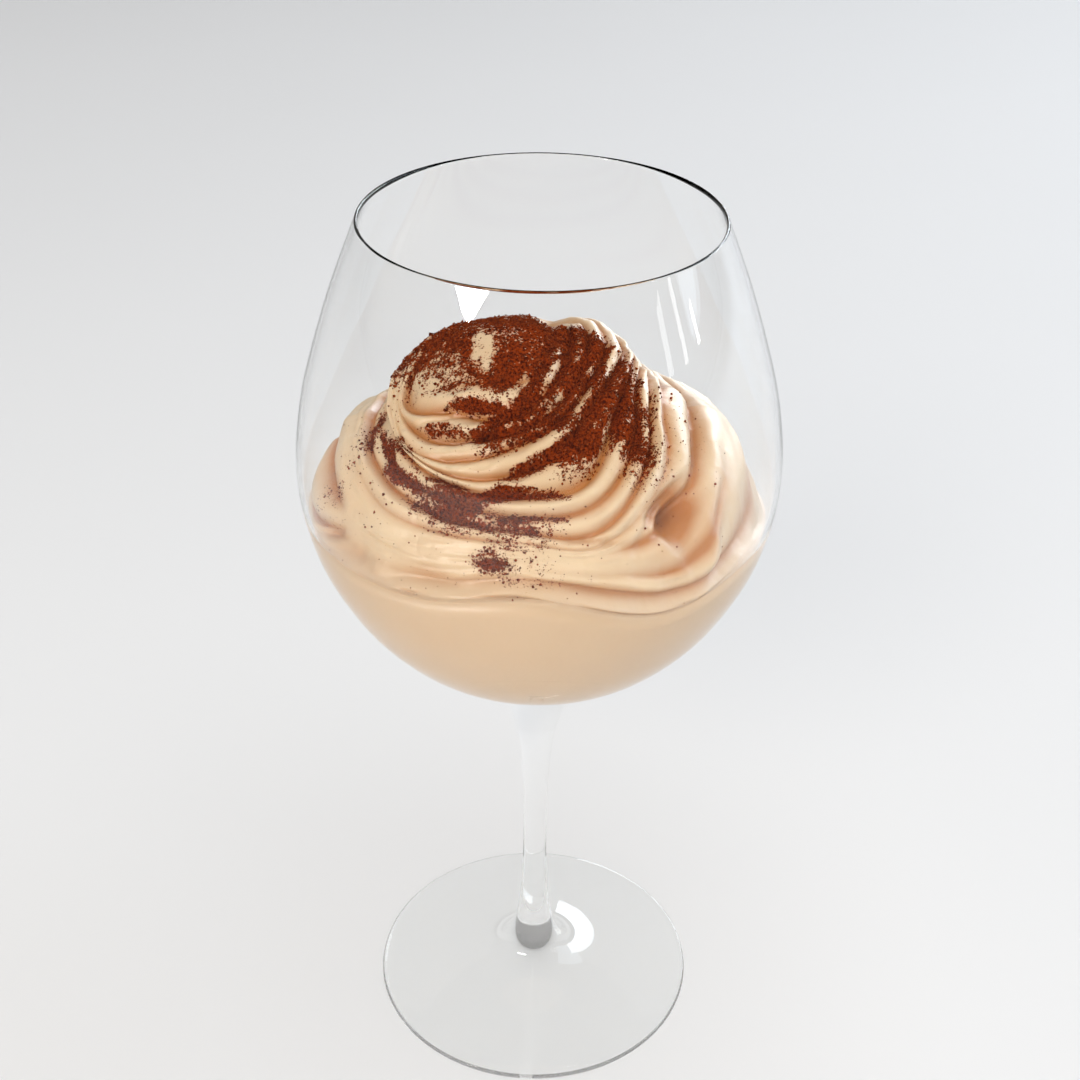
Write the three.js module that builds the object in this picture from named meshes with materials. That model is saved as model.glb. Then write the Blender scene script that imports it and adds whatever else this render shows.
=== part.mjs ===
// A tall balloon wine glass two thirds full of chocolate mousse: a smooth filling that follows
// the inside of the bowl, and on top of it a piped swirl whose ridges run round an off-centre eye.
// Millimetres, +Z up, the foot's flat underside on z = 0, the stem on the Z axis.
// +X is the right-hand side and -Y the front, where the eye of the swirl lies.

import * as THREE from "three";

// ---------------------------------------------------------------- glass
const GLASS_SEGMENTS = 52;

// Rounded edge of the foot: [radius, height].
const FOOT_EDGE = [
  [39.5, 0.0],
  [40.3, 0.3],
  [40.6, 0.9],
  [40.2, 1.5],
  [39.2, 1.9],
];

// Top of the foot, stem and the flare that carries the bowl: [radius, height].
const STEM = [
  [39.2, 1.9],
  [28.0, 2.6],
  [18.0, 3.8],
  [11.5, 6.2],
  [7.4, 10.0],
  [5.2, 15.0],
  [3.9, 22.0],
  [3.3, 30.0],
  [2.95, 41.0],
  [2.95, 53.0],
  [3.25, 64.5],
  [4.15, 75.6],
  [5.3, 82.0],
  [7.0, 88.5],
  [9.6, 94.6],
  [13.6, 100.2],
  [20.0, 105.2],
];

// Bowl from the flare to the rim: [outer radius, height, wall].
const BOWL = [
  [20.0, 105.2, 1.6],
  [28.3, 109.1, 1.5],
  [35.0, 114.1, 1.4],
  [41.4, 121.3, 1.3],
  [46.1, 128.8, 1.2],
  [50.5, 138.7, 1.15],
  [53.1, 150.5, 1.1],
  [53.3, 161.0, 1.1],
  [51.5, 173.2, 1.05],
  [48.4, 184.6, 1.0],
  [44.0, 197.9, 0.95],
  [38.4, 212.2, 0.9],
];
const BOWL_FLOOR = [[0.0, 102.2], [9.0, 103.2]];
const RIM_HEIGHT = 212.7;

// ---------------------------------------------------------------- mousse
const GAP = 0.3; // clearance between the mousse and the glass
const AROUND = 80; // columns of the swirl's surface
const PER_BAND = 3; // rows of the surface in each band between two valleys
const WALL_ROWS = 8; // rows down the inside of the bowl
const EYE = { x: -4.0, y: -12.0 }; // where the ridges turn round, seen from above
const CONTACT_RADIUS = 51.2; // where the swirl's surface meets the glass
const EDGE_START = 44.5; // from here out the dome bends to the height where it meets the glass
const CREST_OFFSET = 0.3; // crests stand this much above the plain dome
const MIN_BAND = 0.4; // narrowest band between two valleys
const STEEPEST = -2.5; // steepest slope of the dome that ridges stand square to

// Plain dome under the ridges: [radius from the glass's axis, height].
const DOME = [
  [0.0, 186.5],
  [10.0, 186.0],
  [20.0, 182.6],
  [27.0, 177.6],
  [31.0, 174.6],
  [36.0, 170.3],
  [41.5, 165.0],
  [44.5, 161.0],
  [47.7, 156.0],
  [49.6, 151.0],
  [50.6, 147.5],
  [51.2, 145.0],
];
// Height where the swirl meets the glass, every 30 degrees clockwise from +X round the axis.
const CONTACT_HEIGHTS = [
  145.0, 148.0, 145.5, 152.5, 149.0, 148.5, 147.0, 146.0, 142.0, 141.0, 141.5, 143.0,
];
// How deep the crease against the glass is, every 30 degrees clockwise from +X round the eye.
const CONTACT_DEPTHS = [0.8, 0.9, 1.6, 0.2, 0.1, 0.1, 0.2, 0.5, 1.0, 1.2, 1.2, 1.0];
const BACK_DROP = 4.0; // the dome falls away by this much behind the summit
const BACK_START = -2.0;
const BACK_SPREAD = 12.0;
const SUMMIT = { x: -2.0, y: 3.0, spreadX: 13.0, spreadY: 10.0, rise: 2.4 };

// Valleys between the ridges, from the innermost out: distance from the eye and depth, both at
// every 30 degrees clockwise from +X seen from above, so that the fourth is the front.
const VALLEYS = [
  {
    radii: [5.2, 4.9, 5.0, 5.6, 6.6, 9.6, 16.5, 18.5, 18.0, 16.0, 12.8, 7.3],
    depths: [1.0, 1.0, 1.0, 1.0, 1.0, 0.9, 0.1, 0.0, 0.0, 0.0, 0.8, 1.0],
  },
  {
    radii: [9.2, 8.8, 9.8, 12.0, 13.5, 15.8, 24.4, 23.6, 24.0, 22.5, 17.5, 11.8],
    depths: [1.9, 1.9, 1.9, 1.9, 2.2, 2.2, 1.9, 1.9, 1.9, 1.9, 1.9, 1.9],
  },
  {
    radii: [13.4, 12.6, 13.5, 14.9, 17.0, 22.0, 25.2, 25.5, 27.5, 27.5, 23.0, 16.3],
    depths: [1.5, 1.5, 1.5, 1.5, 2.0, 2.2, 0.2, 0.0, 0.0, 0.0, 0.8, 1.5],
  },
  {
    radii: [16.1, 14.7, 15.4, 17.4, 21.1, 25.0, 25.9, 26.8, 30.0, 31.0, 27.0, 20.9],
    depths: [1.6, 1.6, 1.6, 1.6, 1.6, 0.8, 0.0, 0.0, 0.0, 0.0, 0.8, 1.6],
  },
  {
    radii: [19.3, 17.6, 19.2, 22.2, 24.2, 25.4, 26.5, 28.0, 32.0, 34.0, 31.0, 25.7],
    depths: [1.9, 1.9, 1.9, 1.9, 1.9, 0.3, 0.0, 0.0, 0.0, 0.0, 1.6, 1.9],
  },
  {
    radii: [23.0, 22.2, 26.6, 26.0, 25.4, 26.0, 27.4, 29.5, 34.5, 37.0, 34.5, 28.5],
    depths: [2.6, 2.6, 2.6, 2.6, 2.6, 2.6, 2.6, 2.6, 2.6, 2.6, 2.6, 2.6],
  },
  {
    radii: [25.4, 27.4, 30.2, 28.8, 27.8, 29.0, 30.3, 33.0, 38.0, 40.5, 37.5, 30.6],
    depths: [1.7, 1.7, 1.7, 1.5, 1.2, 0.8, 0.5, 0.8, 1.7, 1.7, 1.7, 1.7],
  },
  {
    radii: [27.7, 30.4, 33.8, 30.8, 30.2, 31.2, 33.0, 35.8, 40.5, 43.5, 40.5, 33.2],
    depths: [2.2, 2.2, 1.9, 1.8, 1.4, 1.8, 2.2, 2.2, 2.2, 2.2, 2.2, 2.2],
  },
  {
    radii: [30.0, 33.8, 35.3, 32.0, 32.0, 33.8, 35.0, 38.0, 43.0, 46.0, 43.0, 36.0],
    depths: [2.2, 0.8, 0.5, 0.6, 0.9, 0.5, 0.0, 0.0, 0.0, 0.0, 1.7, 2.0],
  },
  {
    radii: [37.4, 39.2, 36.2, 33.2, 33.4, 36.2, 39.6, 42.4, 46.0, 49.5, 47.0, 41.0],
    depths: [3.4, 4.2, 0.2, 0.0, 0.0, -1.0, 3.6, 4.2, 1.0, 0.1, 3.1, 3.2],
  },
  {
    radii: [43.5, 42.8, 37.6, 34.2, 34.4, 36.8, 43.4, 46.0, 49.0, 52.0, 50.2, 46.5],
    depths: [0.0, 1.4, 0.3, 0.0, 0.0, -0.6, 2.4, 2.6, 0.8, 0.0, 0.0, 0.0],
  },
  {
    radii: [49.8, 44.6, 38.7, 35.2, 35.6, 38.2, 45.4, 49.0, 53.0, 56.5, 54.5, 51.4],
    depths: [1.3, 1.5, 1.5, 0.8, 0.6, 0.0, 0.0, 0.2, 0.8, 0.8, 1.0, 1.2],
  },
];

// How far each band's crest lies above or below the dome at the same angles, from the band
// inside the first valley to the band between the last valley and the glass.
const CREST_LIFTS = [
  [0.0, 0.0, 0.0, 0.0, 0.0, 0.0, 0.0, 0.0, 0.0, 0.0, 0.0, 0.0],
  [0.0, 0.0, 0.0, 0.4, 0.8, 0.8, 0.2, 0.0, 0.0, 0.0, 0.0, 0.0],
  [0.0, 0.0, 0.0, 0.0, -0.1, 0.0, 0.0, 0.0, 0.0, 0.0, 0.0, 0.0],
  [0.0, 0.0, 0.0, 0.0, 0.0, 0.1, 0.3, 0.1, 0.0, 0.0, 0.0, 0.0],
  [0.0, 0.0, 0.0, 0.0, 0.1, 0.4, 0.6, 0.4, 0.0, 0.0, 0.0, 0.0],
  [0.0, 0.0, 0.0, 0.2, 0.4, 0.7, 1.0, 1.0, 0.0, 0.0, 0.0, -0.8],
  [-1.5, -0.6, -0.2, -0.2, -0.2, -0.7, -1.6, -2.4, -2.1, -1.0, -1.8, -2.1],
  [-1.5, -0.5, -0.4, -1.3, -1.4, -1.6, -2.0, -2.2, -1.8, -0.8, -1.8, -2.6],
  [-0.3, -0.1, 0.0, 0.0, 0.0, 0.2, 0.3, -1.2, -2.2, -0.8, -2.2, -2.6],
  [0.0, 0.0, 0.0, 0.0, 0.1, 0.5, 1.8, 0.2, -4.4, -1.0, -2.6, -2.4],
  [0.9, 1.0, 0.3, 0.0, 0.1, 0.5, 3.4, -3.2, -3.4, -1.0, -1.8, -0.6],
  [0.4, 0.5, 0.4, 0.2, 0.2, 0.5, 1.2, 1.0, -2.4, -0.6, -0.6, 0.0],
  [0.2, 0.0, 0.2, 0.3, 0.2, 0.5, 0.6, 1.2, -0.5, 0.0, 0.0, 0.0],
];

// Single hollows and swellings: centre, half lengths along and across, turn in degrees, height.
const DIMPLES = [
  // The pit in the eye
  { x: -11.0, y: -26.4, along: 2.2, across: 1.1, turn: 20, height: -3.0 },
  // Hollow beside the pit
  { x: -20.0, y: -24.5, along: 5.0, across: 1.4, turn: -28, height: -0.9 },
  // Deep hollow at the right
  { x: 28.8, y: -32.8, along: 6.0, across: 2.3, turn: 50, height: -7.0 },
  // Lip of that hollow
  { x: 34.2, y: -32.6, along: 5.5, across: 1.7, turn: 68, height: 2.4 },
  // Lower lip of that hollow
  { x: 26.6, y: -38.0, along: 5.0, across: 1.4, turn: 4, height: 1.2 },
  // Dip in the summit
  { x: 2.0, y: 9.0, along: 3.0, across: 9.0, turn: 0, height: -2.2 },
  // Left-hand peak
  { x: -21.0, y: 5.0, along: 10.0, across: 9.0, turn: 0, height: 2.6 },
  // Right-hand peak
  { x: 12.5, y: 10.0, along: 5.0, across: 5.5, turn: 0, height: 1.6 },
];

// ---------------------------------------------------------------- curves and tables
function smoothstep(from, to, value) {
  const t = Math.min(Math.max((value - from) / (to - from), 0), 1);
  return t * t * (3 - 2 * t);
}

// Value at an angle of a table whose entries are evenly spaced round the circle.
function roundTable(values, degrees) {
  const count = values.length;
  const place = (((degrees / 360) * count) % count + count) % count;
  const i = Math.floor(place);
  const t = place - i;
  const a = values[(i - 1 + count) % count];
  const b = values[i % count];
  const c = values[(i + 1) % count];
  const d = values[(i + 2) % count];
  const linear = (c - a) * t;
  const square = (2 * a - 5 * b + 4 * c - d) * t * t;
  const cube = (3 * b - a - 3 * c + d) * t * t * t;
  return 0.5 * (2 * b + linear + square + cube);
}

// Curve through the stations of a table [x, y] that never overshoots, with its slope.
function monotoneCurve(table) {
  const gaps = [];
  const slopes = [];
  for (let i = 0; i + 1 < table.length; i += 1) {
    gaps.push(table[i + 1][0] - table[i][0]);
    slopes.push((table[i + 1][1] - table[i][1]) / gaps[i]);
  }
  const tangents = [0];
  for (let i = 1; i < slopes.length; i += 1) {
    const before = 2 * gaps[i] + gaps[i - 1];
    const after = gaps[i] + 2 * gaps[i - 1];
    const sameWay = slopes[i - 1] * slopes[i] > 0;
    const mean = (before + after) / (before / slopes[i - 1] + after / slopes[i]);
    tangents.push(sameWay ? mean : 0);
  }
  tangents.push(slopes[slopes.length - 1]);
  return (x) => {
    let i = 0;
    while (i < gaps.length - 1 && x >= table[i + 1][0]) {
      i += 1;
    }
    const t = Math.min(Math.max((x - table[i][0]) / gaps[i], 0), 1);
    const rise = table[i + 1][1] - table[i][1];
    const start = tangents[i] * gaps[i];
    const end = tangents[i + 1] * gaps[i];
    const bend = 3 * rise - 2 * start - end;
    const twist = start + end - 2 * rise;
    const value = table[i][1] + start * t + bend * t * t + twist * t * t * t;
    const slope = (start + 2 * bend * t + 3 * twist * t * t) / gaps[i];
    return { value, slope };
  };
}

// Points shifted square to the line that joins their neighbours, to the left of its direction.
function offsetLine(points, distance) {
  return points.map((point, i) => {
    const before = points[Math.max(i - 1, 0)];
    const after = points[Math.min(i + 1, points.length - 1)];
    const along = new THREE.Vector2(after.x - before.x, after.y - before.y).normalize();
    const shift = typeof distance === "number" ? distance : distance[i];
    return new THREE.Vector2(point.x - along.y * shift, point.y + along.x * shift);
  });
}

// ---------------------------------------------------------------- glass
function toPoints(stations) {
  return stations.map((s) => new THREE.Vector2(s[0], s[1]));
}

function insideOfBowl() {
  const walls = BOWL.map((s) => s[2]);
  return [...toPoints(BOWL_FLOOR), ...offsetLine(toPoints(BOWL), walls)];
}

function buildGlass() {
  const outside = [...toPoints(FOOT_EDGE), ...toPoints(STEM).slice(1), ...toPoints(BOWL).slice(1)];
  const inside = insideOfBowl().reverse();
  const rimRadius = (outside[outside.length - 1].x + inside[0].x) / 2;
  const rimTop = new THREE.Vector2(rimRadius, RIM_HEIGHT);
  const outline = [new THREE.Vector2(0, 0), ...outside, rimTop, ...inside];
  return new THREE.LatheGeometry(outline, GLASS_SEGMENTS);
}

// ---------------------------------------------------------------- swirl
const domeAt = monotoneCurve(DOME);

function plainSurface(x, y) {
  const radius = Math.hypot(x, y);
  const dome = domeAt(Math.min(radius, CONTACT_RADIUS));
  const behind = Math.max(y - BACK_START, 0);
  const drop = BACK_DROP * (1 - Math.exp(-behind / BACK_SPREAD));
  const across = (x - SUMMIT.x) / SUMMIT.spreadX;
  const along = (y - SUMMIT.y) / SUMMIT.spreadY;
  const rise = SUMMIT.rise * Math.exp(-0.5 * (across * across + along * along));
  const contact = roundTable(CONTACT_HEIGHTS, -THREE.MathUtils.radToDeg(Math.atan2(y, x)));
  const edge = smoothstep(EDGE_START, CONTACT_RADIUS, radius);
  const height = (dome.value - drop + rise) * (1 - edge) + contact * edge;
  return { height, slope: Math.max(dome.slope, STEEPEST) };
}

function dimplesAt(x, y) {
  let height = 0;
  for (const dimple of DIMPLES) {
    const turn = THREE.MathUtils.degToRad(dimple.turn);
    const dx = x - dimple.x;
    const dy = y - dimple.y;
    const u = (dx * Math.cos(turn) + dy * Math.sin(turn)) / dimple.along;
    const v = (dy * Math.cos(turn) - dx * Math.sin(turn)) / dimple.across;
    height += dimple.height * Math.exp(-(u * u + v * v));
  }
  return height;
}

// Rows of one column of the swirl's surface: distance from the eye and height over the dome.
function columnRows(degrees, reach) {
  const radii = [0];
  const depths = [0];
  for (const valley of VALLEYS) {
    const radius = roundTable(valley.radii, degrees);
    radii.push(Math.max(radius, radii[radii.length - 1] + MIN_BAND));
    depths.push(Math.max(roundTable(valley.depths, degrees), 0));
  }
  radii.push(Math.max(reach, radii[radii.length - 1] + MIN_BAND));
  depths.push(roundTable(CONTACT_DEPTHS, degrees));
  const lifts = CREST_LIFTS.map((table) => roundTable(table, degrees));
  const rows = [];
  for (let band = 0; band + 1 < radii.length; band += 1) {
    const width = radii[band + 1] - radii[band];
    for (let step = 0; step < PER_BAND; step += 1) {
      const t = step / PER_BAND;
      const near = t < 0.5 ? band : band + 1;
      const side = Math.abs(2 * t - 1);
      const inner = lifts[Math.max(near - 1, 0)];
      const outer = lifts[Math.min(near, lifts.length - 1)];
      const toValley = smoothstep(0, 1, side);
      const lift = lifts[band] * (1 - toValley) + 0.5 * (inner + outer) * toValley;
      const deepest = Math.min(depths[near], 0.45 * width + 0.6);
      rows.push({ out: radii[band] + width * t, height: lift - deepest * side ** 1.9 });
    }
  }
  const last = lifts[lifts.length - 1] - depths[depths.length - 1];
  rows.push({ out: radii[radii.length - 1], height: last });
  return rows;
}

// Distance from the eye to the circle where the dome meets the glass.
function reachAt(cos, sin) {
  const along = EYE.x * cos + EYE.y * sin;
  const rest = EYE.x ** 2 + EYE.y ** 2 - CONTACT_RADIUS ** 2;
  return -along + Math.sqrt(along * along - rest);
}

function mousseWall() {
  const line = offsetLine(insideOfBowl(), GAP);
  line[0].x = 0;
  return line;
}

function radiusOnWall(line, height) {
  for (let i = 1; i < line.length; i += 1) {
    if (line[i].y >= height) {
      const t = (height - line[i - 1].y) / (line[i].y - line[i - 1].y);
      return line[i - 1].x + (line[i].x - line[i - 1].x) * t;
    }
  }
  return line[line.length - 1].x;
}

// Points down the inside of the glass from a given height to its floor, evenly along the curve.
function wallColumn(line, height, count) {
  const below = line.filter((p) => p.y < height - 0.2);
  const path = [...below, new THREE.Vector2(radiusOnWall(line, height), height)];
  const curve = new THREE.Path();
  curve.setFromPoints(path);
  return curve.getSpacedPoints(count).reverse();
}

function buildMousse() {
  const wall = mousseWall();
  const columns = [];
  for (let column = 0; column < AROUND; column += 1) {
    const degrees = (column / AROUND) * 360;
    const angle = -THREE.MathUtils.degToRad(degrees);
    const cos = Math.cos(angle);
    const sin = Math.sin(angle);
    const points = [];
    for (const row of columnRows(degrees, reachAt(cos, sin))) {
      const x = EYE.x + row.out * cos;
      const y = EYE.y + row.out * sin;
      const radius = Math.hypot(x, y);
      const plain = plainSurface(x, y);
      const upright = 1 / Math.hypot(1, plain.slope);
      const lift = row.height + dimplesAt(x, y) + CREST_OFFSET;
      const height = plain.height + upright * lift;
      const outward = radius - plain.slope * upright * lift;
      const allowed = Math.min(outward, radiusOnWall(wall, height));
      points.push(new THREE.Vector3((x / radius) * allowed, (y / radius) * allowed, height));
    }
    const lowest = points[points.length - 1];
    const turned = Math.atan2(lowest.y, lowest.x);
    const down = wallColumn(wall, lowest.z, WALL_ROWS);
    for (const point of down.slice(0, -1)) {
      const x = point.x * Math.cos(turned);
      const y = point.x * Math.sin(turned);
      points.push(new THREE.Vector3(x, y, point.y));
    }
    columns.push(points);
  }
  const floor = new THREE.Vector3(0, 0, wall[0].y);
  return closedSurface(columns, floor);
}

// Closed surface from columns of points that all start at the same top point.
function closedSurface(columns, bottom) {
  const rows = columns[0].length;
  const positions = [columns[0][0].x, columns[0][0].y, columns[0][0].z];
  for (const points of columns) {
    for (const point of points.slice(1)) {
      positions.push(point.x, point.y, point.z);
    }
  }
  positions.push(bottom.x, bottom.y, bottom.z);
  const last = positions.length / 3 - 1;
  const at = (column, row) => 1 + (column % columns.length) * (rows - 1) + (row - 1);
  const triangles = [];
  for (let column = 0; column < columns.length; column += 1) {
    triangles.push(0, at(column + 1, 1), at(column, 1));
    for (let row = 1; row + 1 < rows; row += 1) {
      const a = at(column, row);
      const b = at(column + 1, row);
      const c = at(column + 1, row + 1);
      const d = at(column, row + 1);
      triangles.push(a, b, c, a, c, d);
    }
    triangles.push(at(column, rows - 1), at(column + 1, rows - 1), last);
  }
  const geometry = new THREE.BufferGeometry();
  geometry.setAttribute("position", new THREE.Float32BufferAttribute(positions, 3));
  geometry.setIndex(triangles);
  geometry.computeVertexNormals();
  return geometry;
}

// ---------------------------------------------------------------- parts
function addMesh(group, name, geometry, colour, roughness) {
  const material = new THREE.MeshStandardMaterial({ color: colour, roughness, metalness: 0 });
  const mesh = new THREE.Mesh(geometry, material);
  mesh.name = name;
  group.add(mesh);
}

// A lathe turns about +Y; this stands its axis up along +Z with the outline facing out.
function standUp(geometry) {
  geometry.rotateX(Math.PI / 2);
  return geometry;
}

const part = new THREE.Group();
part.name = "mousse_in_wine_glass";
addMesh(part, "wine_glass", standUp(buildGlass()), 0xe8eef0, 0.05);
addMesh(part, "mousse", buildMousse(), 0xd9b48a, 0.6);

export default part;
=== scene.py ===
"""Chocolate mousse in a balloon wine glass: clear glass, piped swirl and cocoa dusting.

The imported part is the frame. Its plain glass and mousse give the place and the outer size, and
the smooth glass, the finely ridged swirl and the cocoa made here are what is seen of them.
The frame is in metres, +Z up. Sizes of the glass and the food are written in millimetres and
scaled once, by MM.
"""

import math

import bpy
import numpy as np
from mathutils import Matrix, Vector


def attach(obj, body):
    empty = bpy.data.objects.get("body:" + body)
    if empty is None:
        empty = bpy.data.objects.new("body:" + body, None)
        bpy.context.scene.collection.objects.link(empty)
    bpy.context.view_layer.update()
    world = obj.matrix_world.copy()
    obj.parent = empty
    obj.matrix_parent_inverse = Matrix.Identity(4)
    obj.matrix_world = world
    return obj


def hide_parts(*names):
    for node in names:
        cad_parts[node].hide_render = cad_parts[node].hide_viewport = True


bl_info = {
    "name": "Mousse in a wine glass",
    "version": (1, 0, 0),
    "blender": (4, 5, 0),
    "location": "3D View > Sidebar > Mousse",
    "description": "Builds a piped chocolate mousse with cocoa in a stemmed glass",
    "category": "Object",
}

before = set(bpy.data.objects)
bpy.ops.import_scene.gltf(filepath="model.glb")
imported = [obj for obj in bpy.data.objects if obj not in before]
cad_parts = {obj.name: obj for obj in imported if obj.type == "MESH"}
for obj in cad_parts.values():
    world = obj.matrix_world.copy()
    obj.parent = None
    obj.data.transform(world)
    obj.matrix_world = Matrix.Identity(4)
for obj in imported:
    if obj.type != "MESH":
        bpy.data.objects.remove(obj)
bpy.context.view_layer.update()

MM = 0.001
ROOT = "root"

# ------------------------------------------------------------------ glass, in millimetres
FOOT_EDGE = [(39.5, 0.0), (40.3, 0.3), (40.6, 0.9), (40.2, 1.5), (39.2, 1.9)]
STEM = [
    (39.2, 1.9), (28.0, 2.6), (18.0, 3.8), (11.5, 6.2), (7.4, 10.0), (5.2, 15.0),
    (3.9, 22.0), (3.3, 30.0), (2.95, 41.0), (2.95, 53.0), (3.25, 64.5), (4.15, 75.6),
    (5.3, 82.0), (7.0, 88.5), (9.6, 94.6), (13.6, 100.2), (20.0, 105.2),
]
# Outer radius, height and wall of the bowl from the flare to the rim.
BOWL = [
    (20.0, 105.2, 1.6), (28.3, 109.1, 1.5), (35.0, 114.1, 1.4), (41.4, 121.3, 1.3),
    (46.1, 128.8, 1.2), (50.5, 138.7, 1.15), (53.1, 150.5, 1.1), (53.3, 161.0, 1.1),
    (51.5, 173.2, 1.05), (48.4, 184.6, 1.0), (44.0, 197.9, 0.95), (38.4, 212.2, 0.9),
]
BOWL_FLOOR = [(0.0, 102.2), (9.0, 103.2)]
RIM_HEIGHT = 212.7
GLASS_STEPS = 6  # rings between two stations of the outline

# ------------------------------------------------------------------ mousse, in millimetres
EYE = (-4.0, -12.0)  # where the ridges turn round, seen from above
CONTACT_RADIUS = 51.2  # where the swirl's surface meets the glass
EDGE_START = 44.5  # from here out the dome bends to the height where it meets the glass
CREST_OFFSET = 0.3  # how far crests lie above the dome
# How deep the crease against the glass is, every 30 degrees clockwise from +X.
CONTACT_DEPTHS = [0.8, 0.9, 1.6, 0.2, 0.1, 0.1, 0.2, 0.5, 1.0, 1.2, 1.2, 1.0]
MIN_BAND = 0.4  # no ridge is narrower
VALLEY_SHAPE = 1.9  # 1 makes roof-like ridges, 2 makes round ones
DEPTH_OF_WIDTH = 0.45  # a valley is at most this share of its ridge's width deep,
DEPTH_OF_NARROWEST = 0.6  # plus this
STEEPEST = -2.5  # slope of the dome by which ridges lean outwards at most
INTO_WALL = 0.35  # how far the filling reaches into the glass
SIDE_CROWDING = 1.6  # rows of the side lie closer together towards the stem
PRESSED_BANDS = 1.5  # how many bands it takes from loose mousse to mousse pressed on the glass

DOME = [
    (0.0, 186.5), (10.0, 186.0), (20.0, 182.6), (27.0, 177.6), (31.0, 174.6), (36.0, 170.3),
    (41.5, 165.0), (44.5, 161.0), (47.7, 156.0), (49.6, 151.0), (50.6, 147.5), (51.2, 145.0),
]
# Height where the swirl meets the glass, every 30 degrees clockwise from +X.
CONTACT_HEIGHTS = [
    145.0, 148.0, 145.5, 152.5, 149.0, 148.5, 147.0, 146.0, 142.0, 141.0, 141.5, 143.0,
]
BACK_DROP = 4.0  # how far the back lies lower than the front
BACK_START = -2.0
BACK_SPREAD = 12.0
SUMMIT = {"x": -2.0, "y": 3.0, "spread_x": 13.0, "spread_y": 10.0, "rise": 2.4}

# Valleys between the ridges from the innermost out: distance from the eye and depth, both at
# every 30 degrees clockwise from +X seen from above, so that the fourth is the front.
VALLEYS = [
    ([5.2, 4.9, 5.0, 5.6, 6.6, 9.6, 16.5, 18.5, 18.0, 16.0, 12.8, 7.3],
     [1.0, 1.0, 1.0, 1.0, 1.0, 0.9, 0.1, 0.0, 0.0, 0.0, 0.8, 1.0]),
    ([9.2, 8.8, 9.8, 12.0, 13.5, 15.8, 24.4, 23.6, 24.0, 22.5, 17.5, 11.8],
     [1.9, 1.9, 1.9, 1.9, 2.2, 2.2, 1.9, 1.9, 1.9, 1.9, 1.9, 1.9]),
    ([13.4, 12.6, 13.5, 14.9, 17.0, 22.0, 25.2, 25.5, 27.5, 27.5, 23.0, 16.3],
     [1.5, 1.5, 1.5, 1.5, 2.0, 2.2, 0.2, 0.0, 0.0, 0.0, 0.8, 1.5]),
    ([16.1, 14.7, 15.4, 17.4, 21.1, 25.0, 25.9, 26.8, 30.0, 31.0, 27.0, 20.9],
     [1.6, 1.6, 1.6, 1.6, 1.6, 0.8, 0.0, 0.0, 0.0, 0.0, 0.8, 1.6]),
    ([19.3, 17.6, 19.2, 22.2, 24.2, 25.4, 26.5, 28.0, 32.0, 34.0, 31.0, 25.7],
     [1.9, 1.9, 1.9, 1.9, 1.9, 0.3, 0.0, 0.0, 0.0, 0.0, 1.6, 1.9]),
    ([23.0, 22.2, 26.6, 26.0, 25.4, 26.0, 27.4, 29.5, 34.5, 37.0, 34.5, 28.5],
     [2.6, 2.6, 2.6, 2.6, 2.6, 2.6, 2.6, 2.6, 2.6, 2.6, 2.6, 2.6]),
    ([25.4, 27.4, 30.2, 28.8, 27.8, 29.0, 30.3, 33.0, 38.0, 40.5, 37.5, 30.6],
     [1.7, 1.7, 1.7, 1.5, 1.2, 0.8, 0.5, 0.8, 1.7, 1.7, 1.7, 1.7]),
    ([27.7, 30.4, 33.8, 30.8, 30.2, 31.2, 33.0, 35.8, 40.5, 43.5, 40.5, 33.2],
     [2.2, 2.2, 1.9, 1.8, 1.4, 1.8, 2.2, 2.2, 2.2, 2.2, 2.2, 2.2]),
    ([30.0, 33.8, 35.3, 32.0, 32.0, 33.8, 35.0, 38.0, 43.0, 46.0, 43.0, 36.0],
     [2.2, 0.8, 0.5, 0.6, 0.9, 0.5, 0.0, 0.0, 0.0, 0.0, 1.7, 2.0]),
    ([37.4, 39.2, 36.2, 33.2, 33.4, 36.2, 39.6, 42.4, 46.0, 49.5, 47.0, 41.0],
     [3.4, 4.2, 0.2, 0.0, 0.0, -1.0, 3.6, 4.2, 1.0, 0.1, 3.1, 3.2]),
    ([43.5, 42.8, 37.6, 34.2, 34.4, 36.8, 43.4, 46.0, 49.0, 52.0, 50.2, 46.5],
     [0.0, 1.4, 0.3, 0.0, 0.0, -0.6, 2.4, 2.6, 0.8, 0.0, 0.0, 0.0]),
    ([49.8, 44.6, 38.7, 35.2, 35.6, 38.2, 45.4, 49.0, 53.0, 56.5, 54.5, 51.4],
     [1.3, 1.5, 1.5, 0.8, 0.6, 0.0, 0.0, 0.2, 0.8, 0.8, 1.0, 1.2]),
]

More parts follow.
